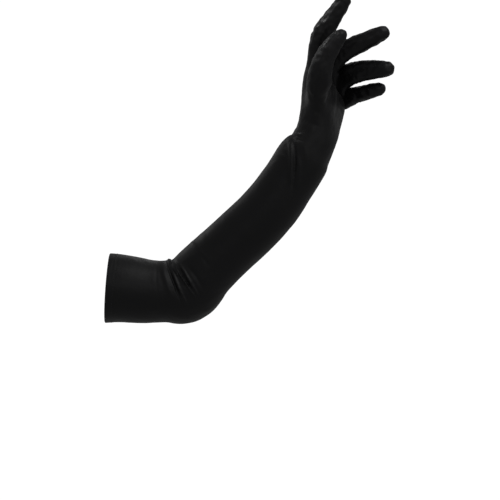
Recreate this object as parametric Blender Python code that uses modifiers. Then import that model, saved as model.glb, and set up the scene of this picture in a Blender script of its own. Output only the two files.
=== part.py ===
# A long satin glove, worn and bent at the elbow, as thin cloth shells.
# The origin is the middle of the arm opening. X runs into the sleeve, Z is up, -Y is the front.

import math

import bpy
import numpy as np
from mathutils import Vector

# Driving sizes, in metres
RISE = 0.400
ARM_HALF = 0.0402
PALM_HALF = 0.0390
FINGER_HALF = 0.0090
FOLD = 0.0040
WALL = 0.0010
HEM_WALL = 0.0016
SEAM_GAP = 0.0003

# The arm opening leans back from upright by this many degrees
RIM_LEAN = 4.0

# Columns around the sleeve before rounding, and what rounding takes off each size
COLUMNS = 20
LEVEL = 1
SLEEVE_SPREAD = 1.012
PALM_SPREAD = 1.02
FINGER_SPREAD = 1.08

# Sections of the sleeve, from the arm opening to the wrist.
# x, depth and height are shares of RISE, front and side shares of ARM_HALF, turn is in degrees.
SLEEVE = (
    # x, depth, height, front, side, turn
    (0.0000, 0.000, 0.0000, 1.00, 1.000, 90),
    (0.0431, 0.000, -0.0014, 0.98, 0.975, 90),
    (0.1092, 0.002, -0.0095, 0.93, 0.925, 90),
    (0.1680, 0.004, -0.0101, 0.91, 0.890, 90),
    (0.2270, 0.004, -0.0060, 0.92, 0.945, 90),
    (0.2775, 0.002, 0.0490, 0.93, 0.885, 88),
    (0.3360, -0.003, 0.1045, 0.91, 0.850, 86),
    (0.4485, -0.018, 0.2090, 0.85, 0.840, 82),
    (0.5185, -0.030, 0.3048, 0.78, 0.790, 76),
    (0.5620, -0.038, 0.3752, 0.73, 0.775, 68),
    (0.5840, -0.040, 0.4054, 0.70, 0.630, 65),
    (0.5950, -0.040, 0.4341, 0.67, 0.630, 62),
)

# Rows of the cage along the sleeve, as places between the sections above. The first two hold the hem.
SLEEVE_ROWS = (
    0.0, 0.66, 1.6, 2.4, 2.85, 3.2, 3.55, 3.9, 4.25, 4.65, 5.15, 5.85, 6.6, 7.35, 8.0,
    8.45, 8.9, 9.35, 9.95, 11.0,
)

# The hand stands on the wrist: rise and lean of its length, and turn of its palm, in degrees
HAND_RISE = 84
HAND_LEAN = 16.6
HAND_TURN = 60
WRIST = (0.598, -0.040, 0.417)

# Rows of the palm, as shares of PALM_HALF from the wrist
PALM = (
    # up, across, palm, half width, half thickness
    (0.30, 0.01, 0.02, 0.72, 0.53),
    (0.80, -0.02, 0.06, 0.81, 0.46),
    (1.28, -0.04, 0.06, 0.92, 0.42),
    (1.74, -0.05, 0.04, 0.99, 0.38),
)

# Joints of the fingers from root to tip, as shares of RISE from the wrist
FINGERS = {
    # x, depth, height
    "index": (
        (-0.0043, 0.010, 0.2156),
        (0.0083, -0.010, 0.3050),
        (0.0483, -0.018, 0.3570),
        (0.0908, -0.030, 0.4226),
    ),
    "middle": (
        (0.0144, 0.052, 0.2070),
        (0.0776, 0.013, 0.2616),
        (0.1430, -0.007, 0.2903),
        (0.2110, -0.025, 0.3203),
    ),
    "ring": (
        (0.0388, 0.083, 0.1754),
        (0.1121, 0.035, 0.2031),
        (0.1668, 0.005, 0.2089),
        (0.2225, -0.025, 0.2081),
    ),
    "little": (
        (0.0590, 0.105, 0.1250),
        (0.1160, 0.065, 0.1379),
        (0.1552, 0.037, 0.1482),
        (0.1998, 0.013, 0.1587),
    ),
}

# Half widths of the fingers, as shares of FINGER_HALF
FINGER_HALVES = {
    # root, web, middle joint, end joint, tip
    "index": (1.24, 1.20, 1.22, 1.18, 0.92),
    "middle": (1.16, 1.18, 1.22, 1.20, 0.93),
    "ring": (1.12, 1.20, 1.42, 1.23, 0.92),
    "little": (1.40, 1.34, 1.07, 0.99, 0.78),
}

# Rings along a finger past the web, as places between its joints
FINGER_RINGS = (0.84, 1.2, 1.85, 2.45, 2.82)

# Rings of the thumb. Places are shares of RISE from the wrist, halves are shares of FINGER_HALF.
THUMB = (
    # x, depth, height, half outwards, half towards the palm
    (0.0020, -0.076, 0.1500, 1.66, 1.58),
    (0.0043, -0.090, 0.1930, 1.48, 1.48),
    (0.0215, -0.097, 0.2376, 1.30, 1.32),
    (0.0450, -0.100, 0.2740, 1.16, 1.16),
    (0.0712, -0.100, 0.3025, 0.86, 0.90),
)
THUMB_TIP = (0.0855, -0.100, 0.3202)

# Ridges and grooves seen from the front, each a line over the cloth.
# Ends are shares of RISE from the origin, half width and height shares of FOLD, a groove below zero.
FOLDS = (
    # x, height, x, height, half width, height of fold
    (0.158, 0.075, 0.193, -0.038, 0.90, 0.35),
    (0.168, 0.082, 0.216, -0.048, 0.75, -0.42),
    (0.181, 0.082, 0.256, -0.024, 0.90, 0.50),
    (0.233, 0.130, 0.273, 0.092, 0.90, 0.32),
    (0.267, 0.154, 0.285, 0.135, 0.75, 0.25),
    (0.328, 0.210, 0.342, 0.193, 0.75, 0.25),
    (0.392, 0.273, 0.405, 0.256, 0.75, 0.25),
    (0.520, 0.420, 0.532, 0.282, 1.60, 0.40),
    (0.548, 0.414, 0.560, 0.311, 1.60, -0.35),
    (0.641, 0.627, 0.647, 0.506, 1.00, -0.38),
    (0.661, 0.610, 0.652, 0.440, 1.20, 0.22),
    (0.300, 0.040, 0.262, -0.050, 1.30, -0.18),
    (0.590, 0.465, 0.618, 0.540, 2.50, 0.90),
    (0.630, 0.615, 0.628, 0.455, 1.75, 0.80),
)

BODY, THUMB_PIECE, HEM = "glove_body", "thumb", "hem"
PIECES = (BODY, THUMB_PIECE, HEM)

# A flat section of the hand by column, from the thumb side to the little finger side
FLAT_ACROSS = (1.0, 0.92, 0.70, 0.46, 0.23, 0.0, -0.23, -0.46, -0.70, -0.92, -1.0)
FLAT_FACE = (0.0, 0.72, 0.95, 1.0, 1.0, 1.0, 1.0, 1.0, 0.95, 0.72, 0.0)


def spline(rows, place):
    # A smooth value between the rows of a table, at a place counted in rows
    last = len(rows) - 1
    at = min(int(place), last - 1)
    share = place - at
    a = np.array(rows[max(at - 1, 0)], float)
    b = np.array(rows[at], float)
    c = np.array(rows[at + 1], float)
    d = np.array(rows[min(at + 2, last)], float)
    near = b * 2 + (c - a) * share
    far = (2 * a - 5 * b + 4 * c - d) * share**2 + (3 * b - a - 3 * c + d) * share**3
    return (near + far) / 2


def axes(along, turn):
    # Thumb side and palm directions of a section whose length runs along a direction
    along = along.normalized()
    left = Vector((-along.z, 0, along.x)).normalized()
    front = along.cross(left)
    angle = math.radians(turn)
    side = left * math.cos(angle) + front * math.sin(angle)
    palm = left * -math.sin(angle) + front * math.cos(angle)
    return side, palm


class Cage:
    # Points and faces of the coarse form, and the piece that each face belongs to

    def __init__(self):
        self.points = []
        self.faces = []
        self.piece = []

    def ring(self, places):
        first = len(self.points)
        self.points += [tuple(at) for at in places]
        return list(range(first, len(self.points)))

    def bridge(self, near, far, piece, skip=()):
        for i in range(len(near)):
            if i in skip:
                continue
            j = (i + 1) % len(near)
            self.faces.append((near[i], near[j], far[j], far[i]))
            self.piece.append(piece)

    def cap(self, ring, tip, piece):
        for i in range(0, len(ring), 2):
            self.faces.append((tip, ring[i - 1], ring[i], ring[i + 1]))
            self.piece.append(piece)


def section(column, flatness):
    # Shares of half width and half thickness at a column, between a round and a flat section
    angle = math.tau * column / COLUMNS
    turned = min(column, COLUMNS - column)
    sign = 1 if column == turned else -1
    across = (1 - flatness) * math.cos(angle) + flatness * FLAT_ACROSS[turned]
    face = (1 - flatness) * math.sin(angle) + flatness * FLAT_FACE[turned] * sign
    return across, face


def sleeve_rows(cage):
    rows = []
    for place in SLEEVE_ROWS:
        here = spline(SLEEVE, place)
        before = spline(SLEEVE, max(place - 0.05, 0))
        after = spline(SLEEVE, min(place + 0.05, len(SLEEVE) - 1))
        along = Vector(after[:3]) - Vector(before[:3])
        if place == 0:
            along = Vector((1, 0, 0))
        side, palm = axes(along, here[5])
        lean = math.tan(math.radians(RIM_LEAN)) * max(0, 1 - place / 2)
        ring = []
        for column in range(COLUMNS):
            across, face = section(column, 0)
            reach = side * across * here[3] + palm * face * here[4]
            reach *= ARM_HALF * SLEEVE_SPREAD
            reach.x += reach.z * lean
            ring.append(Vector(here[:3]) * RISE + reach)
        rows.append(cage.ring(ring))
    return rows


def palm_rows(cage, wrist, up, side, palm):
    rows = []
    for number, (rise, shift, forward, half, thick) in enumerate(PALM):
        centre = wrist + (up * rise + side * shift + palm * forward) * PALM_HALF
        flatness = (number + 1) / len(PALM)
        ring = []
        for column in range(COLUMNS):
            across, face = section(column, flatness)
            reach = side * across * half + palm * face * thick
            ring.append(centre + reach * PALM_HALF * PALM_SPREAD)
        rows.append(cage.ring(ring))
    return rows


def finger_at(name, wrist, side, palm, up, place):
    # Centre, length, thumb side and palm side of a finger at a place counted in joints
    path = [wrist + Vector(joint) * RISE for joint in FINGERS[name]]
    here = Vector(spline(path, place))
    before = Vector(spline(path, max(place - 0.1, 0)))
    after = Vector(spline(path, min(place + 0.1, 3)))
    along = (after - before).normalized()
    across = (side - along * side.dot(along)).normalized()
    face = across.cross(along)
    if face.dot(palm - up) < 0:
        face = -face
    return here, along, across, face


def finger_row(cage, hand, place, width, web):
    # A row around all four finger roots. At the webs it also gives a point inside each web.
    found = [finger_at(name, *hand, place) for name in FINGERS]
    halves = [FINGER_HALVES[name][width] * FINGER_HALF for name in FINGERS]
    palm_side = []
    back_side = []
    inside = []
    for k, (centre, along, across, face) in enumerate(found):
        palm_side.append(centre + face * halves[k] * 1.04)
        back_side.append(centre - face * halves[k] * 1.04)
        if k == 3:
            break
        half = (halves[k] + halves[k + 1]) / 2
        middle = (centre + found[k + 1][0]) / 2
        shared = (face + found[k + 1][3]).normalized()
        if web:
            middle -= (along + found[k + 1][1]).normalized() * half * 0.35
        thick = 0.74 if web else 0.96
        palm_side.append(middle + shared * half * thick)
        back_side.append(middle - shared * half * thick)
        inside.append(middle)
    edges = []
    for k, way in ((0, 1), (3, -1)):
        centre, along, across, face = found[k]
        edge = centre + across * way * halves[k] * 0.86
        lift = face * halves[k] * 0.66
        edges.append((edge + lift, edge - lift, centre + across * way * halves[k] * 1.08))
    first, last = edges
    ring = [first[2], first[0], *palm_side, last[0], last[2], last[1], *reversed(back_side), first[1]]
    return cage.ring(ring), cage.ring(inside) if web else []


def finger_tube(cage, hand, name, root):
    # Rings of eight points from the web to the tip
    halves = FINGER_HALVES[name][1:]
    near = root
    for place in FINGER_RINGS:
        centre, along, across, face = finger_at(name, *hand, place)
        half = float(spline([(value,) for value in halves], max(place, 1))[0])
        half *= FINGER_HALF * FINGER_SPREAD
        if place == FINGER_RINGS[-1]:
            half *= 0.86
        ring = []
        for i in range(8):
            angle = math.tau * (i + 1) / 8
            ring.append(centre + (across * math.cos(angle) + face * math.sin(angle)) * half)
        far = cage.ring(ring)
        cage.bridge(near, far, BODY)
        near = far
    tip = hand[0] + Vector(FINGERS[name][3]) * RISE
    cage.cap(near, cage.ring([tip])[0], BODY)


def thumb_tube(cage, hand, root):
    # Rings of eight points from the hole in the palm to the tip of the thumb
    wrist, side, palm, up = hand
    places = [wrist + Vector(row[:3]) * RISE for row in THUMB] + [wrist + Vector(THUMB_TIP) * RISE]
    near = root
    for number, row in enumerate(THUMB):
        along = (places[number + 1] - places[number]).normalized()
        if number:
            along = (along + (places[number] - places[number - 1]).normalized()).normalized()
        out = (side - along * side.dot(along)).normalized()
        flank = (palm - along * palm.dot(along) - out * palm.dot(out)).normalized()
        ring = []
        for i in range(8):
            angle = math.tau * (i - 1) / 8
            reach = out * math.cos(angle) * row[3] + flank * math.sin(angle) * row[4]
            ring.append(places[number] + reach * FINGER_HALF * FINGER_SPREAD)
        far = cage.ring(ring)
        cage.bridge(near, far, THUMB_PIECE)
        near = far
    cage.cap(near, cage.ring([places[-1]])[0], THUMB_PIECE)


def build_cage():
    cage = Cage()
    rise = math.radians(HAND_RISE)
    lean = math.radians(HAND_LEAN)
    up = Vector((math.cos(rise) * math.cos(lean), math.sin(lean), math.sin(rise) * math.cos(lean)))
    side, palm = axes(up, HAND_TURN)
    wrist = Vector(WRIST) * RISE
    hand = (wrist, side, palm, up)
    sleeve = sleeve_rows(cage)
    cage.bridge(sleeve[0], sleeve[1], HEM)
    for near, far in zip(sleeve[1:], sleeve[2:]):
        cage.bridge(near, far, BODY)
    rows = [sleeve[-1]] + palm_rows(cage, wrist, up, side, palm)
    knuckles, none = finger_row(cage, hand, 0.05, 0, False)
    webs, inside = finger_row(cage, hand, 0.52, 1, True)
    rows += [knuckles, webs]
    # The thumb's hole takes two rows and two columns out of the palm
    for number, (near, far) in enumerate(zip(rows, rows[1:])):
        cage.bridge(near, far, BODY, (0, 1) if number in (2, 3) else ())
    low, middle, high = rows[2:5]
    thumb_tube(cage, hand, [*low[:3], middle[2], high[2], high[1], high[0], middle[0]])
    inside = [webs[0], *inside, webs[10]]
    for k, name in enumerate(FINGERS):
        front = webs[1 + 2 * k : 4 + 2 * k]
        back = webs[17 - 2 * k : 20 - 2 * k]
        finger_tube(cage, hand, name, [*front, inside[k + 1], *back, inside[k]])
    return cage


def rounded(cage, helpers):
    # The cage after Subdivision Surface, as points, faces and the piece of each face
    mesh = bpy.data.meshes.new("glove_cage")
    # The point inside the thumb's hole belongs to no face, so it is left out
    used = sorted({corner for face in cage.faces for corner in face})
    number = {old: new for new, old in enumerate(used)}
    faces = [tuple(number[corner] for corner in face) for face in cage.faces]
    mesh.from_pydata([cage.points[old] for old in used], [], faces)
    for name in PIECES:
        mesh.materials.append(bpy.data.materials.new("cage_" + name))
    mesh.polygons.foreach_set("material_index", [PIECES.index(name) for name in cage.piece])
    obj = bpy.data.objects.new("glove_cage", mesh)
    helpers.objects.link(obj)
    obj.hide_render = True
    obj.display_type = "WIRE"
    modifier = obj.modifiers.new("Round", "SUBSURF")
    modifier.levels = LEVEL
    modifier.render_levels = LEVEL
    graph = bpy.context.evaluated_depsgraph_get()
    graph.update()
    made = bpy.data.meshes.new_from_object(obj.evaluated_get(graph))
    points = np.array([tuple(vertex.co) for vertex in made.vertices])
    faces = np.array([tuple(polygon.vertices) for polygon in made.polygons])
    piece = np.array([polygon.material_index for polygon in made.polygons])
    bpy.data.meshes.remove(made)
    return points, faces, piece


def normals_of(points, faces):
    total = np.zeros_like(points)
    for i in range(4):
        here = points[faces[:, i]]
        following = points[faces[:, (i + 1) % 4]] - here
        previous = points[faces[:, i - 1]] - here
        np.add.at(total, faces[:, i], np.cross(following, previous))
    return total / np.linalg.norm(total, axis=1)[:, None]


def folded(points, faces):
    # The surface with each fold raised or sunk along its line, fading towards the ends and the back
    normals = normals_of(points, faces)
    facing = np.clip(0.6 - normals[:, 1] * 1.5, 0, 1)
    seen = points[:, [0, 2]]
    moved = points.copy()
    for x0, z0, x1, z1, half, height in FOLDS:
        start = np.array((x0, z0)) * RISE
        way = np.array((x1, z1)) * RISE - start
        share = ((seen - start) @ way) / (way @ way)
        nearest = start + np.clip(share, 0, 1)[:, None] * way
        away = np.linalg.norm(seen - nearest, axis=1) / (half * FOLD)
        fade = np.clip(np.minimum(share + 0.15, 1.15 - share) / 0.3, 0, 1)
        lift = height * FOLD * np.exp(-(away**2)) * fade * facing
        moved += normals * lift[:, None]
    return moved


def shell(name, points, normals, faces, seam, wall):
    # A closed shell of one piece: its seam edges drawn back by half the gap, its inside set in by the wall
    used = np.unique(faces)
    local = np.searchsorted(used, faces)
    outer = points[used]
    way_in = normals[used]
    centres = outer[local].mean(axis=1)
    middle = np.zeros_like(outer)
    count = np.zeros(len(used))
    for i in range(4):
        np.add.at(middle, local[:, i], centres)
        np.add.at(count, local[:, i], 1)
    back = middle / count[:, None] - outer
    back -= way_in * (back * way_in).sum(axis=1)[:, None]
    back /= np.linalg.norm(back, axis=1)[:, None] + 1e-9
    outer = outer + back * np.isin(used, seam)[:, None] * SEAM_GAP / 2 * 1.2
    inner = outer - way_in * wall
    total = len(used)
    solid = [tuple(face) for face in local] + [tuple(face[::-1] + total) for face in local]
    edges = set()
    for face in local:
        for i in range(4):
            a, b = int(face[i]), int(face[(i + 1) % 4])
            if (b, a) in edges:
                edges.remove((b, a))
            else:
                edges.add((a, b))
    solid += [(b, a, a + total, b + total) for a, b in sorted(edges)]
    mesh = bpy.data.meshes.new(name)
    mesh.from_pydata([tuple(at) for at in np.concatenate([outer, inner])], [], solid)
    mesh.shade_smooth()
    return bpy.data.objects.new(name, mesh)


def satin(name):
    material = bpy.data.materials.new(name)
    material.use_nodes = True
    shader = material.node_tree.nodes["Principled BSDF"]
    shader.inputs["Base Color"].default_value = (0.011, 0.011, 0.012, 1)
    shader.inputs["Roughness"].default_value = 0.38
    shader.inputs["Metallic"].default_value = 0
    material.diffuse_color = (0.011, 0.011, 0.012, 1)
    return material


def main():
    for obj in list(bpy.data.objects):
        bpy.data.objects.remove(obj, do_unlink=True)
    parts = bpy.data.collections.new("satin_opera_glove")
    helpers = bpy.data.collections.new("helpers")
    bpy.context.scene.collection.children.link(parts)
    bpy.context.scene.collection.children.link(helpers)
    points, faces, piece = rounded(build_cage(), helpers)
    points = folded(points, faces)
    normals = normals_of(points, faces)
    for name, wall in ((BODY, WALL), (THUMB_PIECE, WALL), (HEM, HEM_WALL)):
        number = PIECES.index(name)
        own = faces[piece == number]
        seam = np.intersect1d(own, faces[piece != number])
        obj = shell(name, points, normals, own, seam, wall)
        obj.data.materials.append(satin(name + "_satin"))
        parts.objects.link(obj)


main()
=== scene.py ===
import math

import bpy
import numpy as np
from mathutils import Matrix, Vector, noise


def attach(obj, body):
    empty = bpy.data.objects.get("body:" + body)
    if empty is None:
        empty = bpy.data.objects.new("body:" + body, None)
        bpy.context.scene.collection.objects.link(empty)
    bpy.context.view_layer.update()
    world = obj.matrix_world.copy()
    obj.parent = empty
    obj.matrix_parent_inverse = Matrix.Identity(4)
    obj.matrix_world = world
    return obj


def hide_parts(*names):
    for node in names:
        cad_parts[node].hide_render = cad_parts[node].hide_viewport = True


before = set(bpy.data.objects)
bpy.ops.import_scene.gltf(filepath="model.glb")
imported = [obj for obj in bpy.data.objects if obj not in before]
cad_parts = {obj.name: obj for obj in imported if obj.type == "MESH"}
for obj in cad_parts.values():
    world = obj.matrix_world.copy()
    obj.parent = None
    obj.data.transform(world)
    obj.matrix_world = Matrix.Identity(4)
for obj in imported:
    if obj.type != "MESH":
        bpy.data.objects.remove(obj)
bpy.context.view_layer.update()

print("frame loaded:", ", ".join(sorted(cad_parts)))

# Sizes of the whole glove, in metres and degrees
glove = {
    "rise": 0.400,            # from the elbow line to the fingertips, about
    "armHalf": 0.0402,        # half the width of the sleeve at the arm opening
    "palmHalf": 0.0390,
    "fingerHalf": 0.0090,
    "wall": 0.0010,
    "hemWall": 0.0016,
    "seamGap": 0.00004,       # sewn edges meet closely
    "rimLean": 4.0,
    "columns": 20,
    "palmColumn": 5,          # the middle of the palm side, then the little finger's side,
    "seamColumn": 10,         # then the middle of the back
    "backColumn": 15,
    "outerLevel": 3,          # rounds of subdivision of the face of the cloth
    "innerLevel": 2,          # and of its inside, which is seen only at the opening
}

# What rounding the cage takes off each size, given back beforehand
spread = {"sleeve": 1.012, "palm": 1.02, "finger": 1.08}

sleeve = {
    # x, depth, height as shares of rise, front and side as shares of armHalf, turn in degrees
    "sections": (
        (0.0000, 0.000, 0.0000, 1.00, 1.000, 90),
        (0.0431, 0.000, -0.0014, 0.98, 0.975, 90),
        (0.1092, 0.002, -0.0095, 0.93, 0.925, 90),
        (0.1680, 0.004, -0.0101, 0.91, 0.890, 90),
        (0.2270, 0.004, -0.0060, 0.92, 0.945, 90),
        (0.2775, 0.002, 0.0490, 0.93, 0.885, 88),
        (0.3360, -0.003, 0.1045, 0.91, 0.850, 86),
        (0.4485, -0.018, 0.2090, 0.85, 0.840, 82),
        (0.5185, -0.030, 0.3048, 0.78, 0.790, 76),
        (0.5620, -0.038, 0.3752, 0.73, 0.775, 68),
        (0.5840, -0.040, 0.4054, 0.70, 0.630, 65),
        (0.5950, -0.040, 0.4341, 0.67, 0.630, 62),
    ),
    # Places of the cage's rows between the sections. The first two hold the hem. Rows lie
    # closer than in the solids where the cloth folds, at the elbow and the wrist.
    "rows": (
        0.0, 0.66, 1.15, 1.6, 2.0, 2.4, 2.7, 2.9, 3.1, 3.3, 3.5, 3.7, 3.9, 4.1, 4.3, 4.5, 4.75,
        5.05, 5.4, 5.85, 6.35, 6.85, 7.35, 7.8, 8.15, 8.45, 8.7, 8.95, 9.2, 9.5, 9.85, 10.3, 11.0,
    ),
    "columnWidth": 0.0125,    # of the cloth, between two columns
    "step": 0.05,             # between the places that give the sleeve's direction
}

hand = {
    "rise": 84,               # of the hand, above the level, in degrees
    "lean": 16.6,             # away from the viewer
    "turn": 60,               # of the palm about the hand's own line
    "wrist": (0.598, -0.040, 0.417),
    # up, across, palm, half width, half thickness as shares of palmHalf
    "palm": (
        (0.30, 0.01, 0.02, 0.75, 0.55),
        (0.80, -0.03, 0.06, 0.84, 0.48),
        (1.28, -0.08, 0.06, 0.95, 0.44),
        (1.74, -0.05, 0.04, 0.99, 0.38),
    ),
    # a flat section by column, from the thumb side to the little finger side
    "flatAcross": (1.0, 0.92, 0.70, 0.46, 0.23, 0.0, -0.23, -0.46, -0.70, -0.92, -1.0),
    "flatFace": (0.0, 0.72, 0.95, 1.0, 1.0, 1.0, 1.0, 1.0, 0.95, 0.72, 0.0),
}

fingers = {
    # joints from root to tip, x, depth, height from the wrist as shares of rise
    "joints": {
        "index": (
            (-0.0020, 0.010, 0.2156), (0.0132, -0.010, 0.3050),
            (0.0483, -0.018, 0.3570), (0.0908, -0.030, 0.4226),
        ),
        "middle": (
            (0.0144, 0.052, 0.2070), (0.0776, 0.013, 0.2608),
            (0.1430, -0.007, 0.2903), (0.2110, -0.025, 0.3203),
        ),
        "ring": (
            (0.0388, 0.083, 0.1754), (0.1121, 0.035, 0.2031),
            (0.1668, 0.005, 0.2089), (0.2225, -0.025, 0.2081),
        ),
        "little": (
            (0.0590, 0.105, 0.1215), (0.1160, 0.065, 0.1395),
            (0.1552, 0.037, 0.1482), (0.1998, 0.013, 0.1587),
        ),
    },
    # half widths at root, web, middle joint, end joint and tip, as shares of fingerHalf
    "halves": {
        "index": (1.24, 1.32, 1.36, 1.18, 0.92),
        "middle": (1.16, 1.28, 1.34, 1.20, 0.93),
        "ring": (1.12, 1.28, 1.44, 1.23, 0.92),
        "little": (1.40, 1.44, 1.09, 1.00, 0.78),
    },
    "rings": (0.84, 1.2, 1.85, 2.45, 2.82),
    "columnWidth": 0.0072,
    "jointLength": 0.030,
    "sides": 8,
    "step": 0.1,
    "knucklePlace": 0.05,
    "webPlace": 0.52,
    # shares of a finger's half width
    "pad": 1.04,              # from its middle line to palm and back
    "edgeAcross": 0.86,       # of the outer fingers' rounded edges
    "edgeLift": 0.66,
    "edgeOut": 1.08,
    "webDrop": 0.35,
    "webThick": 0.74,
    "knuckleThick": 0.96,
    "lastRing": 0.86,         # of the ring that rounds the tip
}

thumb = {
    # x, depth, height from the wrist as shares of rise, half outwards, half towards the palm
    "rings": (
        (0.0020, -0.076, 0.1500, 1.66, 1.58),
        (0.0043, -0.090, 0.1930, 1.48, 1.48),
        (0.0215, -0.097, 0.2376, 1.30, 1.32),
        (0.0450, -0.100, 0.2740, 1.16, 1.16),
        (0.0712, -0.100, 0.3025, 0.86, 0.90),
    ),
    "tip": (0.0855, -0.100, 0.3202),
    "ringLength": 0.018,      # of the cloth, from ring to ring
    "tipPlace": 5.5,
    "holeRows": (2, 3),       # of the palm, left out where the thumb is set in
    "holeColumns": (0, 1),
}

bodyPiece, thumbPiece, hemPiece = 0, 1, 2
sleeveZone, palmZone, fingerZone, thumbZone = 0, 1, 2, 6

# Folds as lines over the cloth, in millimetres from the middle of the arm opening.
# Each has its side, the x and height of its start, middle and end, its half width and its height.
folds = (
    ("front", (7, 41), (6, 33), (5, 24), 0.9, 0.22),
    ("front", (11, 41), (10, 32), (9, 20), 1.0, 0.25),
    ("front", (15, 40), (14, 31), (13, 22), 0.9, 0.20),
    ("front", (57, 29), (57, 10), (59, -9), 1.4, -0.22),
    ("front", (63, 30), (67, 12), (77, -14), 3.0, 1.00),
    ("front", (67, 38), (69, 34), (71, 26), 2.6, 1.90),
    ("back", (67, 38), (69, 34), (71, 26), 2.6, 1.90),
    ("front", (67, 33), (75, 12), (86, -18), 1.6, -2.60),
    ("front", (75, 18), (84, -2), (95, -25), 1.4, 1.50),
    ("front", (71, 33), (86, 13), (102, -12), 1.3, 2.50),
    ("front", (75, 28), (88, 12), (98, -4), 1.1, -1.90),
    ("front", (79, 33), (92, 14), (104, -8), 1.3, 2.50),
    ("front", (84, 34), (100, 16), (110, -2), 2.2, -1.10),
    ("front", (92, 20), (104, 6), (112, -10), 3.2, 0.35),
    ("front", (96, 53), (103, 46), (111, 36), 1.8, 1.50),
    ("front", (100, 48), (108, 39), (115, 27), 1.8, -0.70),
    ("front", (96, -19), (107, -24), (118, -24), 4.5, 0.50),
    ("front", (107, 62), (111, 58), (115, 51), 2.6, 0.50),
    ("front", (131, 85), (135, 81), (138, 76), 3.0, 0.40),
    ("front", (157, 109), (161, 106), (163, 101), 3.0, 0.35),
    ("front", (176, 133), (184, 128), (189, 118), 2.8, 0.35),
    ("front", (190, 152), (201, 150), (208, 143), 2.0, 0.45),
    ("front", (197, 160), (205, 156), (209, 148), 1.8, 0.40),
    ("front", (208, 169), (210, 150), (209, 122), 2.5, 2.60),
    ("front", (213, 167), (214, 138), (211, 108), 1.5, -2.10),
    ("front", (216, 150), (219, 136), (217, 116), 2.4, 0.55),
    ("front", (211, 176), (216, 175), (222, 174), 1.6, 0.65),
    ("front", (211, 171), (216, 169), (223, 167), 1.3, -0.40),
    ("front", (222, 166), (227, 150), (226, 134), 3.0, 0.40),
    ("front", (236, 186), (242, 200), (247, 216), 10.0, 3.60),
    ("front", (252, 246), (254, 218), (251, 182), 7.0, 3.40),
    ("front", (255, 252), (259, 226), (257, 198), 2.1, 0.80),
    ("front", (251, 240), (253, 226), (254, 206), 1.8, -0.60),
    ("front", (257, 196), (259, 186), (262, 170), 5.0, 0.60),
    ("front", (266, 212), (268, 206), (269, 200), 1.4, -1.10),
    ("front", (266, 271), (271, 272), (278, 272), 1.7, 0.60),
    ("front", (278, 282), (286, 281), (294, 281), 1.7, 0.55),
    ("front", (236, 222), (243, 214), (247, 203), 2.4, 0.55),
    ("front", (232, 206), (240, 200), (246, 190), 2.4, -0.50),
    ("back", (70, 30), (76, 12), (88, -14), 3.2, 0.80),
    ("back", (76, 30), (86, 14), (100, -8), 2.2, -0.75),
    ("back", (82, 32), (95, 14), (110, -8), 2.6, 0.90),
    ("back", (90, 40), (103, 28), (118, 12), 2.4, 0.75),
    ("back", (94, 46), (106, 36), (120, 26), 1.9, -0.50),
    ("back", (99, 56), (109, 50), (122, 44), 2.6, 0.55),
    ("back", (62, 30), (64, 16), (70, -6), 2.0, 0.40),
    ("back", (176, 136), (186, 130), (196, 118), 2.8, 0.40),
    ("back", (196, 158), (206, 150), (214, 138), 2.2, 0.70),
    ("back", (206, 170), (216, 160), (226, 146), 1.8, -0.65),
    ("back", (212, 176), (222, 168), (234, 156), 2.2, 0.75),
    ("back", (216, 188), (226, 182), (240, 172), 2.2, 0.45),
    ("back", (238, 196), (246, 210), (250, 226), 3.2, 0.45),
    ("back", (252, 186), (262, 198), (270, 206), 2.6, 0.45),
    ("back", (246, 232), (254, 236), (262, 240), 1.8, 0.45),
)


def spline(rows, place):
    # a smooth value between the rows of a table, at a place counted in rows
    last = len(rows) - 1
    at = min(int(place), last - 1)
    share = place - at
    a = np.array(rows[max(at - 1, 0)], float)
    b = np.array(rows[at], float)
    c = np.array(rows[at + 1], float)
    d = np.array(rows[min(at + 2, last)], float)
    near = b * 2 + (c - a) * share
    far = (2 * a - 5 * b + 4 * c - d) * share**2 + (3 * b - a - 3 * c + d) * share**3
    return (near + far) / 2


def sideAndPalm(along, turn):
    along = along.normalized()
    left = Vector((-along.z, 0, along.x)).normalized()
    front = along.cross(left)
    angle = math.radians(turn)
    side = left * math.cos(angle) + front * math.sin(angle)
    palm = left * -math.sin(angle) + front * math.cos(angle)
    return side, palm


class Cage:
    # the coarse form, with the piece of each face and, per corner, where it lies on the cloth

    def __init__(self):
        self.points, self.faces, self.piece = [], [], []
        self.cloth, self.zone = [], []   # (around, along) in metres, (zone, place)

    def ring(self, places):
        first = len(self.points)
        self.points += [tuple(at) for at in places]
        return list(range(first, len(self.points)))

    def bridge(self, near, far, piece, width, lengths, zone, places, skip=()):
        for i in range(len(near)):
            if i in skip:
                continue
            j = (i + 1) % len(near)
            self.faces.append((near[i], near[j], far[j], far[i]))
            self.piece.append(piece)
            a, b = i * width, (i + 1) * width
            self.cloth.append(((a, lengths[0]), (b, lengths[0]), (b, lengths[1]), (a, lengths[1])))
            self.zone.append([(zone, places[0])] * 2 + [(zone, places[1])] * 2)

    def cap(self, ring, tip, piece, width, length, zone, place):
        for i in range(0, len(ring), 2):
            self.faces.append((tip, ring[i - 1], ring[i], ring[i + 1]))
            self.piece.append(piece)
            self.cloth.append((
                (i * width, length + width), ((i - 1) * width, length),
                (i * width, length), ((i + 1) * width, length),
            ))
            self.zone.append([(zone, place)] * 4)


def section(column, flatness):
    angle = math.tau * column / glove["columns"]
    turned = min(column, glove["columns"] - column)
    sign = 1 if column == turned else -1
    across = (1 - flatness) * math.cos(angle) + flatness * hand["flatAcross"][turned]
    face = (1 - flatness) * math.sin(angle) + flatness * hand["flatFace"][turned] * sign
    return across, face


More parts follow.
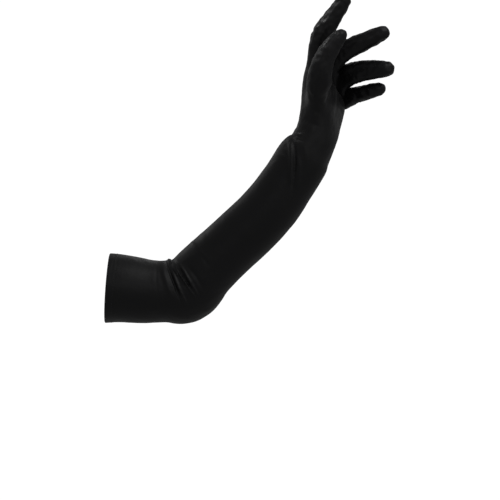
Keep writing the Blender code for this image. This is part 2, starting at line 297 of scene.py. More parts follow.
def sleeveRows(cage):
    rows = []
    sections = sleeve["sections"]
    for place in sleeve["rows"]:
        here = spline(sections, place)
        before = spline(sections, max(place - sleeve["step"], 0))
        after = spline(sections, min(place + sleeve["step"], len(sections) - 1))
        along = Vector(after[:3]) - Vector(before[:3])
        if place == 0:
            along = Vector((1, 0, 0))
        side, palm = sideAndPalm(along, here[5])
        lean = math.tan(math.radians(glove["rimLean"])) * max(0, 1 - place / 2)
        ring = []
        for column in range(glove["columns"]):
            across, face = section(column, 0)
            reach = side * across * here[3] + palm * face * here[4]
            reach *= glove["armHalf"] * spread["sleeve"]
            reach.x += reach.z * lean
            ring.append(Vector(here[:3]) * glove["rise"] + reach)
        rows.append(cage.ring(ring))
    return rows


def palmRows(cage, wrist, up, side, palm):
    rows = []
    for number, (rise, shift, forward, half, thick) in enumerate(hand["palm"]):
        centre = wrist + (up * rise + side * shift + palm * forward) * glove["palmHalf"]
        flatness = (number + 1) / len(hand["palm"])
        ring = []
        for column in range(glove["columns"]):
            across, face = section(column, flatness)
            reach = side * across * half + palm * face * thick
            ring.append(centre + reach * glove["palmHalf"] * spread["palm"])
        rows.append(cage.ring(ring))
    return rows


def fingerAt(name, wrist, side, palm, up, place):
    path = [wrist + Vector(joint) * glove["rise"] for joint in fingers["joints"][name]]
    here = Vector(spline(path, place))
    before = Vector(spline(path, max(place - fingers["step"], 0)))
    after = Vector(spline(path, min(place + fingers["step"], len(path) - 1)))
    along = (after - before).normalized()
    across = (side - along * side.dot(along)).normalized()
    face = across.cross(along)
    if face.dot(palm - up) < 0:
        face = -face
    return here, along, across, face


def fingerRow(cage, wristFrame, place, width, web):
    # a row around all four finger roots; at the webs also a point inside each web
    names = list(fingers["joints"])
    found = [fingerAt(name, *wristFrame, place) for name in names]
    halves = [fingers["halves"][name][width] * glove["fingerHalf"] for name in names]
    palmSide, backSide, webPoints = [], [], []
    for k, (centre, along, across, face) in enumerate(found):
        palmSide.append(centre + face * halves[k] * fingers["pad"])
        backSide.append(centre - face * halves[k] * fingers["pad"])
        if k == len(found) - 1:
            break
        half = (halves[k] + halves[k + 1]) / 2
        middle = (centre + found[k + 1][0]) / 2
        shared = (face + found[k + 1][3]).normalized()
        if web:
            middle -= (along + found[k + 1][1]).normalized() * half * fingers["webDrop"]
        thick = fingers["webThick"] if web else fingers["knuckleThick"]
        palmSide.append(middle + shared * half * thick)
        backSide.append(middle - shared * half * thick)
        webPoints.append(middle)
    edges = []
    for k, way in ((0, 1), (len(found) - 1, -1)):
        centre, along, across, face = found[k]
        edge = centre + across * way * halves[k] * fingers["edgeAcross"]
        lift = face * halves[k] * fingers["edgeLift"]
        out = centre + across * way * halves[k] * fingers["edgeOut"]
        edges.append((edge + lift, edge - lift, out))
    first, last = edges
    ring = [first[2], first[0], *palmSide, last[0]]
    ring += [last[2], last[1], *reversed(backSide), first[1]]
    return cage.ring(ring), cage.ring(webPoints) if web else []


def fingerTube(cage, wristFrame, number, name, root, length):
    halves = fingers["halves"][name][1:]
    near, nearPlace = root, fingers["webPlace"]
    for place in fingers["rings"]:
        centre, along, across, face = fingerAt(name, *wristFrame, place)
        half = float(spline([(value,) for value in halves], max(place, 1))[0])
        half *= glove["fingerHalf"] * spread["finger"]
        if place == fingers["rings"][-1]:
            half *= fingers["lastRing"]
        ring = []
        for i in range(fingers["sides"]):
            angle = math.tau * (i + 1) / fingers["sides"]
            ring.append(centre + (across * math.cos(angle) + face * math.sin(angle)) * half)
        far = cage.ring(ring)
        ahead = length + (place - nearPlace) * fingers["jointLength"]
        cage.bridge(near, far, bodyPiece, fingers["columnWidth"], (length, ahead),
                    fingerZone + number, (nearPlace, place))
        near, nearPlace, length = far, place, ahead
    tip = wristFrame[0] + Vector(fingers["joints"][name][3]) * glove["rise"]
    cage.cap(near, cage.ring([tip])[0], bodyPiece, fingers["columnWidth"], length,
             fingerZone + number, 3)


def thumbTube(cage, wristFrame, root):
    wrist, side, palm, up = wristFrame
    places = [wrist + Vector(row[:3]) * glove["rise"] for row in thumb["rings"]]
    places.append(wrist + Vector(thumb["tip"]) * glove["rise"])
    near, length = root, 0.0
    width = fingers["columnWidth"]
    for number, row in enumerate(thumb["rings"]):
        along = (places[number + 1] - places[number]).normalized()
        if number:
            along = (along + (places[number] - places[number - 1]).normalized()).normalized()
        out = (side - along * side.dot(along)).normalized()
        flank = (palm - along * palm.dot(along) - out * palm.dot(out)).normalized()
        ring = []
        for i in range(fingers["sides"]):
            angle = math.tau * (i - 1) / fingers["sides"]
            reach = out * math.cos(angle) * row[3] + flank * math.sin(angle) * row[4]
            ring.append(places[number] + reach * glove["fingerHalf"] * spread["finger"])
        far = cage.ring(ring)
        ahead = length + thumb["ringLength"]
        cage.bridge(near, far, thumbPiece, width, (length, ahead), thumbZone,
                    (number, number + 1))
        near, length = far, ahead
    cage.cap(near, cage.ring([places[-1]])[0], thumbPiece, width, length, thumbZone,
             thumb["tipPlace"])


def rowStep(cage, near, far, column):
    return (Vector(cage.points[near[column]]) - Vector(cage.points[far[column]])).length


def buildCage():
    cage = Cage()
    rise, lean = math.radians(hand["rise"]), math.radians(hand["lean"])
    level = math.cos(lean)
    up = Vector((math.cos(rise) * level, math.sin(lean), math.sin(rise) * level))
    side, palm = sideAndPalm(up, hand["turn"])
    wrist = Vector(hand["wrist"]) * glove["rise"]
    wristFrame = (wrist, side, palm, up)
    rows = sleeveRows(cage)
    places = sleeve["rows"]
    width, length = sleeve["columnWidth"], 0.0
    for number, (near, far) in enumerate(zip(rows, rows[1:])):
        step = rowStep(cage, near, far, glove["palmColumn"])
        step = (step + rowStep(cage, near, far, glove["backColumn"])) / 2
        piece = bodyPiece if number else hemPiece
        cage.bridge(near, far, piece, width, (length, length + step), sleeveZone,
                    (places[number], places[number + 1]))
        length += step
    rows = [rows[-1]] + palmRows(cage, wrist, up, side, palm)
    knuckles = fingerRow(cage, wristFrame, fingers["knucklePlace"], 0, False)[0]
    webs, webPoints = fingerRow(cage, wristFrame, fingers["webPlace"], 1, True)
    rows += [knuckles, webs]
    # the thumb's hole takes two rows and two columns out of the palm
    for number, (near, far) in enumerate(zip(rows, rows[1:])):
        step = rowStep(cage, near, far, glove["palmColumn"])
        hole = thumb["holeColumns"] if number in thumb["holeRows"] else ()
        cage.bridge(near, far, bodyPiece, width, (length, length + step), palmZone,
                    (number, number + 1), hole)
        length += step
    low, middle, high = rows[2:5]
    thumbTube(cage, wristFrame, [*low[:3], middle[2], high[2], high[1], high[0], middle[0]])
    webPoints = [webs[0], *webPoints, webs[glove["seamColumn"]]]
    for k, name in enumerate(fingers["joints"]):
        front = webs[1 + 2 * k : 4 + 2 * k]
        back = webs[17 - 2 * k : 20 - 2 * k]
        root = [*front, webPoints[k + 1], *back, webPoints[k]]
        fingerTube(cage, wristFrame, k, name, root, length)
    return cage


def roundedCage(cage, level):
    # the cage after Subdivision Surface, as arrays of points, faces, pieces, cloth and zone places
    mesh = bpy.data.meshes.new("gloveCage")
    used = sorted({corner for face in cage.faces for corner in face})
    number = {old: new for new, old in enumerate(used)}
    mesh.from_pydata([cage.points[old] for old in used], [],
                     [tuple(number[corner] for corner in face) for face in cage.faces])
    for name in ("cageBody", "cageThumb", "cageHem"):
        mesh.materials.append(bpy.data.materials.new(name))
    mesh.polygons.foreach_set("material_index", cage.piece)
    for name, values in (("cloth", cage.cloth), ("zone", cage.zone)):
        layer = mesh.uv_layers.new(name=name)
        layer.data.foreach_set("uv", np.array(values, float).ravel())
    obj = bpy.data.objects.new("gloveCage", mesh)
    bpy.context.scene.collection.objects.link(obj)
    modifier = obj.modifiers.new("Round", "SUBSURF")
    modifier.levels = modifier.render_levels = level
    modifier.uv_smooth = "NONE"
    graph = bpy.context.evaluated_depsgraph_get()
    made = bpy.data.meshes.new_from_object(obj.evaluated_get(graph))
    points = np.array([tuple(vertex.co) for vertex in made.vertices])
    faces = np.array([tuple(polygon.vertices) for polygon in made.polygons])
    piece = np.array([polygon.material_index for polygon in made.polygons])
    corners = []
    for name in ("cloth", "zone"):
        flat = np.zeros(len(made.loops) * 2)
        made.uv_layers[name].data.foreach_get("uv", flat)
        corners.append(flat.reshape(-1, 4, 2))
    bpy.data.objects.remove(obj)
    bpy.data.meshes.remove(made)
    for name in ("cageBody", "cageThumb", "cageHem"):
        bpy.data.materials.remove(bpy.data.materials[name])
    return points, faces, piece, corners[0], corners[1]


def normalsOf(points, faces):
    total = np.zeros_like(points)
    for i in range(4):
        here = points[faces[:, i]]
        ahead = points[faces[:, (i + 1) % 4]] - here
        behind = points[faces[:, i - 1]] - here
        np.add.at(total, faces[:, i], np.cross(ahead, behind))
    return total / (np.linalg.norm(total, axis=1)[:, None] + 1e-12)


def eased(values, faces, rounds):
    # the values averaged with their neighbours on the cloth, so that zones run into each other
    for _ in range(rounds):
        total, count = np.zeros_like(values), np.zeros(len(values))
        mean = values[faces].mean(axis=1)
        for i in range(4):
            np.add.at(total, faces[:, i], mean)
            np.add.at(count, faces[:, i], 1)
        values = total / np.maximum(count, 1)
    return values


bridging = {
    "keptRound": 0.92,        # share of each move inwards that is given back
    "fineRounds": 4,          # the outer face is finer, so it takes more rounds
    # places on sleeve, palm, fingers and thumb between which the cloth is bridged
    "sleeveFrom": 10.0,
    "wristTo": 1.0,
    "knucklesFrom": 3.4,
    "fingersTo": 0.75,
    "thumbFrom": 1.2,
    "thumbUpTo": 4.6,
    "thumbColumns": 4.2,
    "thumbTo": 1.7,
    "wrist": (2, 8),          # rounds that blend the edge of the bridged part, and that bridge it
    "fingers": (3, 6),
    "thumb": (3, 16),
}


def relaxed(points, faces, weight, rounds):
    # where its weight is high the cloth bridges sharp hollows, and keeps what is round outwards
    count = np.zeros(len(points))
    for i in range(4):
        np.add.at(count, faces[:, i], 1)
    for turn in range(rounds):
        if turn % 4 == 0:
            normals = normalsOf(points, faces)
        total = np.zeros_like(points)
        middle = points[faces].mean(axis=1)
        for i in range(4):
            np.add.at(total, faces[:, i], middle)
        move = total / np.maximum(count, 1)[:, None] - points
        rise = (move * normals).sum(axis=1)
        move -= normals * np.minimum(rise, 0)[:, None] * bridging["keptRound"]
        points = points + move * weight[:, None]
    return points


def bump(distance, half):
    return np.exp(-((distance / half) ** 2))


def foldLift(points, normals):
    # ridges and grooves along the folds' lines, in metres outwards
    lift = np.zeros(len(points))
    seen = points[:, [0, 2]] * 1000
    facing = {
        "front": np.clip(0.6 - normals[:, 1] * 1.5, 0, 1),
        "back": np.clip(0.6 + normals[:, 1] * 1.5, 0, 1),
    }
    steps = np.linspace(0, 1, 25)
    for side, start, middle, end, half, height in folds:
        start, middle, end = (np.array(at, float) for at in (start, middle, end))
        bend = middle * 2 - (start + end) / 2
        line = [start * (1 - t) ** 2 + bend * 2 * t * (1 - t) + end * t**2 for t in steps]
        away = np.full(len(points), 1e9)
        nearest = np.zeros(len(points))
        for t, at in zip(steps, line):
            here = np.linalg.norm(seen - at, axis=1)
            closer = here < away
            away[closer], nearest[closer] = here[closer], t
        taper = np.sin(np.pi * np.clip(nearest * 0.92 + 0.04, 0, 1)) ** 0.6
        lift += height / 1000 * bump(away, half) * taper * facing[side]
    return lift


creases = {
    "crookPlace": 3.9,        # of the elbow's crook between the sleeve's sections
    "crookAlong": 0.026,
    "crookAcross": 0.022,     # half length of the folds in the crook of the elbow
    "crookSpacing": 0.013,
    "crookHeight": 0.0005,
    "jointSpacing": 0.0046,   # of the fine wrinkles at finger joints
    "jointHeight": 0.00022,
    "joints": ((1.05, 1.0), (2.0, 0.9)),   # place along a finger, strength
    "jointHalf": 0.20,
    "thumbJoint": 2.6,
    "thumbJointHalf": 0.5,
    "fingerSeams": (3, 7),    # columns of the fingers' and of the thumb's seams
    "thumbSeams": (1, 5),
    "seamHalf": 0.0011,
    "seamDepth": 0.00040,
    "fingerSeamDepth": 0.00018,
    "puckerSpacing": 0.0065,
    "puckerHeight": 0.00014,
    "puckerHalf": 0.006,
    "slackHeight": 0.00045,   # of the cloth's slow unevenness
    "mottleHeight": 0.00090,  # of the small dents over the hand and the fingers
    "pullHeight": 0.00030,    # of the long pulls that bending draws in the cloth
    # how often each comes in a metre
    "slackOften": 26,
    "fineSlackOften": 61,
    "mottleOften": 180,
    "pullAlongOften": 38,
    "pullAcrossOften": 150,
    "pullSlant": (0.75, 0.66),
    "elbowPulls": (4.0, 1.3, 1.0),         # place along the sleeve, half width, strength
    "wristPulls": (10.2, 1.4, 0.8),
    "sleevePulls": 0.25,
    "palmPulls": (0.9, 1.6, 0.30),         # strength at the wrist, half width, strength anywhere
    "mottleShares": (1.0, 0.25, 0.07),     # on fingers, palm and sleeve
    "fingerSlack": 0.45,
    "pullRounds": 10,
    "handleRounds": 16,
}


def creaseLift(points, faces, around, along, zone, place):
    # folds that follow the cloth: crook, finger joints, seams, slack and pulls, in metres outwards
    lift = np.zeros(len(points))
    onSleeve = zone < 0.5
    onPalm = (zone > 0.5) & (zone < 1.5)
    onFinger = (zone > 1.5) & (zone < 5.5)
    onThumb = zone > 5.5
    width = sleeve["columnWidth"]
    crook = along[onSleeve & (np.abs(place - creases["crookPlace"]) < 0.1)].mean()
    reach = bump(around - glove["backColumn"] * width, creases["crookAcross"])
    reach = reach * bump(along - crook, creases["crookAlong"])
    wave = np.cos(math.tau * (along - crook) / creases["crookSpacing"])
    lift += onSleeve * wave * reach * creases["crookHeight"]
    # seams: little finger side of sleeve and palm, both sides of each finger and of the thumb
    seam = np.full(len(points), 1.0)
    seam = np.where(onSleeve | onPalm, np.abs(around - glove["seamColumn"] * width), seam)
    tube = fingers["columnWidth"]
    for at in creases["fingerSeams"]:
        seam = np.where(onFinger, np.minimum(seam, np.abs(around - at * tube)), seam)
    for at in creases["thumbSeams"]:
        seam = np.where(onThumb, np.minimum(seam, np.abs(around - at * tube)), seam)
    depth = np.where(onSleeve | onPalm, creases["seamDepth"], creases["fingerSeamDepth"])
    lift -= depth * bump(seam, creases["seamHalf"])
    pucker = np.sin(math.tau * along / creases["puckerSpacing"] + 2.2 * np.sin(along * 310))
    lift += creases["puckerHeight"] * pucker * bump(seam, creases["puckerHalf"])
    # finger and thumb joints
    tired = np.zeros(len(points))
    for joint, strength in creases["joints"]:
        tired += onFinger * strength * bump(place - joint, creases["jointHalf"])
    tired += onThumb * bump(place - creases["thumbJoint"], creases["thumbJointHalf"])
    wrinkle = np.sin(math.tau * along / creases["jointSpacing"] + 1.6 * np.sin(around * 420))
    lift += creases["jointHeight"] * wrinkle * tired
    # slack everywhere, pulls near the elbow and the wrist
    bent = np.full(len(points), creases["sleevePulls"])
    for at, half, strength in (creases["elbowPulls"], creases["wristPulls"]):
        bent += strength * bump(place - at, half)
    strength, half, anywhere = creases["palmPulls"]
    bent = onSleeve * bent + onPalm * (strength * bump(place, half) + anywhere)
    bent = eased(bent, faces, creases["pullRounds"])
    slack, mottle, pull = (np.zeros(len(points)) for _ in range(3))
    most, some, least = creases["mottleShares"]
    handled = np.where(onFinger | onThumb, most, np.where(onPalm, some, least))
    handled = eased(handled, faces, creases["handleRounds"])
    down, against = creases["pullSlant"]
    for i, at in enumerate(points):
        here = Vector(at)
        fineSlack = noise.noise(here * creases["fineSlackOften"] + Vector((7, 3, 1)))
        slack[i] = noise.noise(here * creases["slackOften"]) + 0.5 * fineSlack
        mottle[i] = noise.noise(here * creases["mottleOften"] + Vector((1, 9, 4)))
        if bent[i] > 0.02:
            slant = (along[i] * down + around[i] * against) * creases["pullAlongOften"]
            cross = (around[i] * down - along[i] * against) * creases["pullAcrossOften"]
            pull[i] = noise.noise(Vector((slant, cross, 2.7)))
    calm = np.where(onFinger | onThumb, creases["fingerSlack"], 1.0)
    calm = eased(calm, faces, creases["handleRounds"])
    lift += creases["slackHeight"] * slack * calm + creases["pullHeight"] * pull * bent
    return lift + creases["mottleHeight"] * mottle * handled


def backFromEdge(points, normals, local):
    # the direction along the cloth from each point to the middle of its faces
    centres = points[local].mean(axis=1)
    middle, count = np.zeros_like(points), np.zeros(len(points))
    for i in range(4):
        np.add.at(middle, local[:, i], centres)
        np.add.at(count, local[:, i], 1)
    back = middle / count[:, None] - points
    back -= normals * (back * normals).sum(axis=1)[:, None]
    return back / (np.linalg.norm(back, axis=1)[:, None] + 1e-9)


def openEdges(local):
    # each edge with one face, from corner to corner in the face's order, with that face and corner
    edges = {}
    for number, face in enumerate(local):
        for i in range(4):
            a, b = int(face[i]), int(face[(i + 1) % 4])
            if (b, a) in edges:
                del edges[(b, a)]
            else:
                edges[(a, b)] = (number, i)
    return edges


def clothOf(cloth, number):
    # one piece's points, normals, faces and place on the cloth, out of the whole glove's
    own = cloth["piece"] == number
    faces = cloth["faces"][own]
    used = np.unique(faces)
    local = np.searchsorted(used, faces)
    seam = np.isin(used, cloth["faces"][~own])
    return cloth["points"][used], cloth["normals"][used], local, cloth["around"][own], seam


def shell(name, number, wall, roll):
    # one closed cloth shell: a fine outer face, a coarser inner face and rounded rims between them
    outer, outNormals, outFaces, outCloth, outSeam = clothOf(outside, number)
    inner, inNormals, inFaces, inCloth, inSeam = clothOf(inside, number)
    outBack = backFromEdge(outer, outNormals, outFaces)
    inBack = backFromEdge(inner, inNormals, inFaces)
    inRim = inner.copy()
    outRim = outer.copy()
    outer = outer + outBack * outSeam[:, None] * glove["seamGap"]
    inner = inner + inBack * inSeam[:, None] * glove["seamGap"] - inNormals * wall
    outEdges, inEdges = openEdges(outFaces), openEdges(inFaces)
    after = {a: b for a, b in outEdges}
    rim = sorted(after)
    total = len(outer)
    place = {corner: total + len(inner) + n for n, corner in enumerate(rim)}
    bulge = np.where(outSeam[rim], 0.00002, roll)
    rolled = outer[rim] - outNormals[rim] * wall / 2 - outBack[rim] * bulge[:, None]
    solid = [tuple(face) for face in outFaces]
    solid += [tuple(face[::-1] + total) for face in inFaces]
    uv = [tuple(map(tuple, corners)) for corners in outCloth]
    uv += [tuple(map(tuple, corners[::-1])) for corners in inCloth]
    for (a, b), (face, i) in sorted(outEdges.items()):
        first, second = tuple(outCloth[face][i]), tuple(outCloth[face][(i + 1) % 4])
        solid.append((b, a, place[a], place[b]))
        uv.append((second, first, first, second))
    # one inner edge meets two outer edges
    for (a, b), (face, i) in sorted(inEdges.items()):
        first, second = tuple(inCloth[face][i]), tuple(inCloth[face][(i + 1) % 4])
        start = rim[int(np.argmin(np.linalg.norm(outRim[rim] - inRim[a], axis=1)))]
        halfway = after[start]
        end = after[halfway]
        solid.append((b + total, place[end], place[halfway], place[start], a + total))
        uv.append((second, second, first, first, first))
    mesh = bpy.data.meshes.new(name)
    mesh.from_pydata([tuple(at) for at in np.concatenate([outer, inner, rolled])], [], solid)
    layer = mesh.uv_layers.new(name="cloth")
    flat = [value for corners in uv for corner in corners for value in corner]
    layer.data.foreach_set("uv", flat)
    mesh.shade_smooth()
    mesh.set_sharp_from_angle(angle=math.radians(62))
    obj = bpy.data.objects.new(name, mesh)
    bpy.context.scene.collection.objects.link(obj)
    return obj


def linear(hexColour):
    # an sRGB hex colour as linear red, green, blue, alpha
    parts = [int(hexColour[i : i + 2], 16) / 255 for i in (1, 3, 5)]
    light = [c / 12.92 if c <= 0.04045 else ((c + 0.055) / 1.055) ** 2.4 for c in parts]
    return (*light, 1.0)


def addNode(tree, kind, settings=None, **links):
    # a node with its settings, and its inputs set to values or linked to other nodes' outputs
    node = tree.nodes.new(kind)
    for name, value in (settings or {}).items():
        setattr(node, name, value)
    for name, value in links.items():
        socket = node.inputs[int(name[1:]) if name[1:].isdigit() else name]
        if isinstance(value, bpy.types.NodeSocket):
            tree.links.new(value, socket)
        else:
            socket.default_value = value
    return node


satin = {
    "colour": "#0e0e10",
    "worn": "#151517",        # where the face has rubbed, a little greyer
    "roughness": (0.36, 0.48),
    "specular": 0.36,
    "sheen": 0.10,
    "anisotropy": 0.35,
    "threadSpacing": 0.0009,  # real threads lie 0.12 mm apart, drawn coarser so that they show
    "floatLength": 0.0045,    # the length of thread that floats on the face, coarsened with it
    "weaveDepth": 0.00006,
    "weaveStrength": 0.55,
    "wrinkleSize": 0.009,
    "wrinkleDepth": 0.0006,
    "wrinkleStrength": 0.35,
    "wearOften": 22.0,        # rubbed places in a metre, about
}


def wovenStretchSatin(name):
    # Stretch satin, polyester with elastane, woven with long floats on the face: the eye gets a
    # deep black that turns to a broad soft gloss, drawn out across the floats, with fine lines.
    material = bpy.data.materials.new(name)
    material.use_nodes = True
    tree = material.node_tree
    shader = tree.nodes["Principled BSDF"]
    cloth = addNode(tree, "ShaderNodeUVMap", {"uv_map": "cloth"}).outputs[0]
    grain = addNode(tree, "ShaderNodeMapping", i0=cloth,
                    i3=(1 / satin["threadSpacing"], 1 / satin["floatLength"], 1))
    threads = addNode(tree, "ShaderNodeTexNoise", {"noise_dimensions": "2D"},
                      Vector=grain.outputs[0], Scale=1.0, Detail=2.0, Roughness=0.6)
    place = addNode(tree, "ShaderNodeTexCoord").outputs["Object"]
    wide = addNode(tree, "ShaderNodeTexNoise", Vector=place, Scale=satin["wearOften"],
                   Detail=3.0, Roughness=0.55)
    small = addNode(tree, "ShaderNodeTexNoise", Vector=place, Scale=1 / satin["wrinkleSize"],
                    Detail=2.0, Roughness=0.5, Distortion=0.6)
    colour = addNode(tree, "ShaderNodeMix", {"data_type": "RGBA"}, i0=wide.outputs[0],
                     i6=linear(satin["colour"]), i7=linear(satin["worn"]))
    gloss = addNode(tree, "ShaderNodeMapRange", Value=wide.outputs[0], i1=0.3, i2=0.7,
                    i3=satin["roughness"][0], i4=satin["roughness"][1])
    wrinkles = addNode(tree, "ShaderNodeBump", Height=small.outputs[0],
                       Strength=satin["wrinkleStrength"], Distance=satin["wrinkleDepth"])
    lines = addNode(tree, "ShaderNodeBump", Height=threads.outputs[0],
                    Strength=satin["weaveStrength"], Distance=satin["weaveDepth"],
                    Normal=wrinkles.outputs[0])
    tangent = addNode(tree, "ShaderNodeTangent", {"direction_type": "UV_MAP", "uv_map": "cloth"})
    tree.links.new(colour.outputs[2], shader.inputs["Base Color"])
    tree.links.new(gloss.outputs[0], shader.inputs["Roughness"])
    tree.links.new(lines.outputs[0], shader.inputs["Normal"])
    tree.links.new(tangent.outputs[0], shader.inputs["Tangent"])
    shader.inputs["Specular IOR Level"].default_value = satin["specular"]
    shader.inputs["IOR"].default_value = 1.5
    shader.inputs["Anisotropic"].default_value = satin["anisotropy"]
    shader.inputs["Sheen Weight"].default_value = satin["sheen"]
    shader.inputs["Sheen Roughness"].default_value = 0.4
    material.diffuse_color = linear(satin["colour"])
    return material


thread = {
    "dark": "#0b0b0c",
    "light": "#141416",
    "fibresOften": 1800.0,
    "twistDepth": 0.00008,
    "roughness": 0.55,
    "sheen": 0.2,
}


def spunThread(name):
    # Polyester sewing thread, spun and twisted: a duller black than the satin, with a twist that
    # gives the eye a row of small dashes.
    material = bpy.data.materials.new(name)
    material.use_nodes = True
    tree = material.node_tree
    shader = tree.nodes["Principled BSDF"]
    place = addNode(tree, "ShaderNodeTexCoord").outputs["Object"]
    fibres = addNode(tree, "ShaderNodeTexNoise", Vector=place, Scale=thread["fibresOften"],
                     Detail=2.0)
    colour = addNode(tree, "ShaderNodeMix", {"data_type": "RGBA"}, i0=fibres.outputs[0],
                     i6=linear(thread["dark"]), i7=linear(thread["light"]))
    twist = addNode(tree, "ShaderNodeBump", Height=fibres.outputs[0], Strength=0.5,
                    Distance=thread["twistDepth"])
    tree.links.new(colour.outputs[2], shader.inputs["Base Color"])
    tree.links.new(twist.outputs[0], shader.inputs["Normal"])
    shader.inputs["Roughness"].default_value = thread["roughness"]
    shader.inputs["Sheen Weight"].default_value = thread["sheen"]
    return material


def laidCloth(cage, level, deepest):
    # the rounded glove with its folds; the inside keeps below the deepest fold nearby
    points, faces, piece, cloth, zone = roundedCage(cage, level)
    around, along, part, place = (np.zeros(len(points)) for _ in range(4))
    for i in range(4):
        around[faces[:, i]], along[faces[:, i]] = cloth[:, i, 0], cloth[:, i, 1]
        part[faces[:, i]], place[faces[:, i]] = zone[:, i, 0], zone[:, i, 1]
    onPalm = part == palmZone
    onFinger = (part >= fingerZone) & (part < thumbZone)
    width = sleeve["columnWidth"]
    besideThumb = np.minimum(around, glove["columns"] * width - around)
    wrist = (part == sleeveZone) & (place > bridging["sleeveFrom"])
    wrist |= onPalm & (place < bridging["wristTo"])
    fingerRoot = onPalm & (place > bridging["knucklesFrom"])
    fingerRoot |= onFinger & (place < bridging["fingersTo"])
    thumbRoot = onPalm & (place > bridging["thumbFrom"]) & (place < bridging["thumbUpTo"])
    thumbRoot &= besideThumb < bridging["thumbColumns"] * width
    thumbRoot |= (part == thumbZone) & (place < bridging["thumbTo"])
    fine = bridging["fineRounds"] if level == glove["outerLevel"] else 1
    for zone, rounds in ((wrist, "wrist"), (fingerRoot, "fingers"), (thumbRoot, "thumb")):
        blend, bridge = bridging[rounds]
        weight = eased(zone.astype(float), faces, fine * blend)
        points = relaxed(points, faces, weight, fine * bridge)
    smooth = normalsOf(points, faces)
    lift = foldLift(points, smooth) + creaseLift(points, faces, around, along, part, place)
    if deepest:
        low = lift.copy()
        for i in range(4):
            np.minimum.at(low, faces[:, i], lift[faces].min(axis=1))
        lift = low
    points = points + smooth * lift[:, None]
    return {
        "points": points, "normals": normalsOf(points, faces), "faces": faces, "piece": piece,
        "around": cloth, "byPoint": (around, along),
    }


cage = buildCage()
outside = laidCloth(cage, glove["outerLevel"], False)
inside = laidCloth(cage, glove["innerLevel"], True)
print("cloth laid:", len(outside["points"]), "points outside,", len(folds), "folds")

for name, number, wall, roll, node, slotName in (
    ("satinBody", bodyPiece, glove["wall"], 0.0, "glove_body", "satin_body"),
    ("satinThumb", thumbPiece, glove["wall"], 0.0, "thumb", "satin_thumb"),
    ("satinHem", hemPiece, glove["hemWall"], 0.0006, "hem", "satin_hem"),
):
    obj = shell(name, number, wall, roll)
    obj.data.materials.append(wovenStretchSatin(name + "Weave"))
    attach(obj, "root")
    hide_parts(node)
    print("piece made:", name, sum(len(p.vertices) - 2 for p in obj.data.polygons), "triangles")

# A row of small stitches holds the turned hem down
hemStitches = {
    "count": 84,
    "share": 0.74,            # of the hem's depth, from the arm opening
    "length": 0.0021,
    "thick": 0.00026,
    "proud": 0.00012,
    "rings": 5,
    "sides": 6,
}


def stitchRow(name):
    sewn = bpy.data.meshes.new(name)
    verts, quads = [], []
    rings, sides = hemStitches["rings"], hemStitches["sides"]
    around, along = outside["byPoint"]
    hemPoints = np.unique(outside["faces"][outside["piece"] == hemPiece])
    rowLength = along[hemPoints].max() * hemStitches["share"]
    nearest = np.abs(along[hemPoints] - rowLength).min()
    ring = hemPoints[np.abs(along[hemPoints] - rowLength) < nearest + 1e-6]
    order = ring[np.argsort(around[ring] % (glove["columns"] * sleeve["columnWidth"]))]
    path, ways = outside["points"][order], outside["normals"][order]
    turns = np.arange(hemStitches["count"]) / hemStitches["count"] * len(path)
    for turn in turns:
        at = int(turn) % len(path)
        share = turn - int(turn)
        here = path[at] * (1 - share) + path[(at + 1) % len(path)] * share
        out = ways[at]
        run = path[(at + 1) % len(path)] - path[at]
        run = run / (np.linalg.norm(run) + 1e-12)
        side = np.cross(out, run)
        first = len(verts)
        for step in range(rings):
            t = step / (rings - 1) - 0.5
            swell = math.sqrt(max(0.0, 1 - (2 * t) ** 2)) * 0.85 + 0.15
            centre = here + run * t * hemStitches["length"]
            centre = centre + out * hemStitches["proud"] * (swell - 0.4)
            for k in range(sides):
                angle = math.tau * k / sides
                turned = side * math.cos(angle) + out * math.sin(angle)
                verts.append(centre + turned * hemStitches["thick"] * swell)
        for step in range(rings - 1):
            for k in range(sides):
                a, b = first + step * sides + k, first + step * sides + (k + 1) % sides
                quads.append((a, b, b + sides, a + sides))
        quads.append(tuple(first + k for k in reversed(range(sides))))
        quads.append(tuple(first + (rings - 1) * sides + k for k in range(sides)))
    sewn.from_pydata([tuple(at) for at in verts], [], quads)
    sewn.shade_smooth()
    obj = bpy.data.objects.new(name, sewn)
    bpy.context.scene.collection.objects.link(obj)
    return obj


stitching = stitchRow("hemStitching")
stitching.data.materials.append(spunThread("spunPolyesterThread"))
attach(stitching, "root")
print("piece made: hemStitching")

stage = {
    "floorHeight": -0.42,
    "floorRadius": 2.2,
    "floorColour": "#f2f2f0",
    "floorRoughness": 0.8,
    "floorGlow": 0.45,
    "floorSides": 96,
    "middle": 0.16,           # x of the glove's middle
    "fade": (0.40, 0.95),     # from the middle, where the floor begins to fade and has faded
    "cameraPlace": (0.1633, -2.55, 0.0437),
    "frameWidth": 0.575,      # metres across the picture at the glove
    "sensor": 36,             # in millimetres
    "seenTo": 50,
    "backdrop": 1.05,
    "roomLight": 0.165,
}


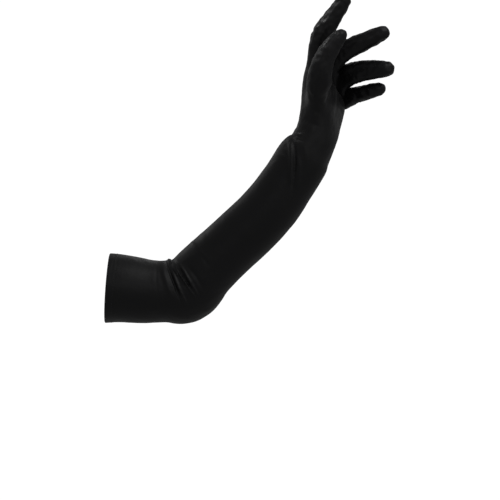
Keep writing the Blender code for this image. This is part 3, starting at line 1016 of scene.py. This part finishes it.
def paleFloor():
    mesh = bpy.data.meshes.new("floor")
    count = stage["floorSides"]
    ring = [
        (stage["middle"] + stage["floorRadius"] * math.cos(math.tau * i / count),
         stage["floorRadius"] * math.sin(math.tau * i / count), stage["floorHeight"])
        for i in range(count)
    ]
    mesh.from_pydata(ring, [], [tuple(range(count))])
    obj = bpy.data.objects.new("floor", mesh)
    bpy.context.scene.collection.objects.link(obj)
    material = bpy.data.materials.new("paleMattFloor")
    material.use_nodes = True
    tree = material.node_tree
    shader = tree.nodes["Principled BSDF"]
    shader.inputs["Base Color"].default_value = linear(stage["floorColour"])
    shader.inputs["Roughness"].default_value = stage["floorRoughness"]
    shader.inputs["Emission Color"].default_value = linear(stage["floorColour"])
    shader.inputs["Emission Strength"].default_value = stage["floorGlow"]
    where = addNode(tree, "ShaderNodeTexCoord").outputs["Object"]
    middle = addNode(tree, "ShaderNodeVectorMath", {"operation": "DISTANCE"},
                     i0=where, i1=(stage["middle"], 0, stage["floorHeight"]))
    fade = addNode(tree, "ShaderNodeMapRange", {"interpolation_type": "SMOOTHSTEP"},
                   Value=middle.outputs["Value"], i1=stage["fade"][0], i2=stage["fade"][1],
                   i3=1.0, i4=0.0)
    tree.links.new(fade.outputs[0], shader.inputs["Alpha"])
    mesh.materials.append(material)
    return obj


def softLight(name, place, target, size, power, spread=180):
    data = bpy.data.lights.new(name, "AREA")
    data.shape = "RECTANGLE"
    data.size, data.size_y = size
    data.energy = power
    data.spread = math.radians(spread)
    obj = bpy.data.objects.new(name, data)
    bpy.context.scene.collection.objects.link(obj)
    obj.location = place
    obj.rotation_euler = (Vector(target) - Vector(place)).to_track_quat("-Z", "Y").to_euler()
    obj.visible_camera = False
    return obj


floor = paleFloor()
floor.visible_glossy = floor.visible_diffuse = False   # it lights nothing from below
# Each light's place, what it is turned to, its size in metres, its watts and its spread in degrees
softboxes = {
    "topSoftbox": ((0.80, -0.55, 1.35), (0.12, 0, 0.05), (1.2, 1.1), 4.2),
    "handSoftbox": ((-0.15, -0.05, 0.70), (0.256, -0.05, 0.266), (0.15, 0.15), 0.014, 13),
    "frontSoftbox": ((0.35, -1.9, 0.75), (0.18, 0, 0.12), (1.0, 0.7), 0.9),
    "backSoftbox": ((0.5, 1.5, 1.0), (0.18, 0, 0.12), (0.9, 0.8), 1.5),
    "farSoftbox": ((-0.9, 1.2, 0.7), (0.18, 0, 0.12), (0.6, 0.9), 0.8),
    "sideSoftbox": ((1.25, -1.0, 0.20), (0.28, 0, 0.22), (0.8, 0.8), 0.35),
}
for name, values in softboxes.items():
    softLight(name, *values)

world = bpy.data.worlds.new("paleStudio")
bpy.context.scene.world = world
world.use_nodes = True
tree = world.node_tree
tree.nodes.clear()
seenBright = addNode(tree, "ShaderNodeLightPath").outputs["Is Camera Ray"]
strength = addNode(tree, "ShaderNodeMapRange", Value=seenBright, i3=stage["roomLight"],
                   i4=stage["backdrop"])
room = addNode(tree, "ShaderNodeBackground", Color=(1, 1, 1, 1), Strength=strength.outputs[0])
addNode(tree, "ShaderNodeOutputWorld", Surface=room.outputs[0])

camera = bpy.data.objects.new("camera", bpy.data.cameras.new("camera"))
bpy.context.scene.collection.objects.link(camera)
camera.location = stage["cameraPlace"]
camera.rotation_euler = (math.radians(90), 0, 0)
camera.data.sensor_width = stage["sensor"]
camera.data.lens = stage["sensor"] * -stage["cameraPlace"][1] / stage["frameWidth"]
camera.data.clip_end = stage["seenTo"]
bpy.context.scene.camera = camera
bpy.context.scene.view_settings.view_transform = "Standard"
print("stage set")
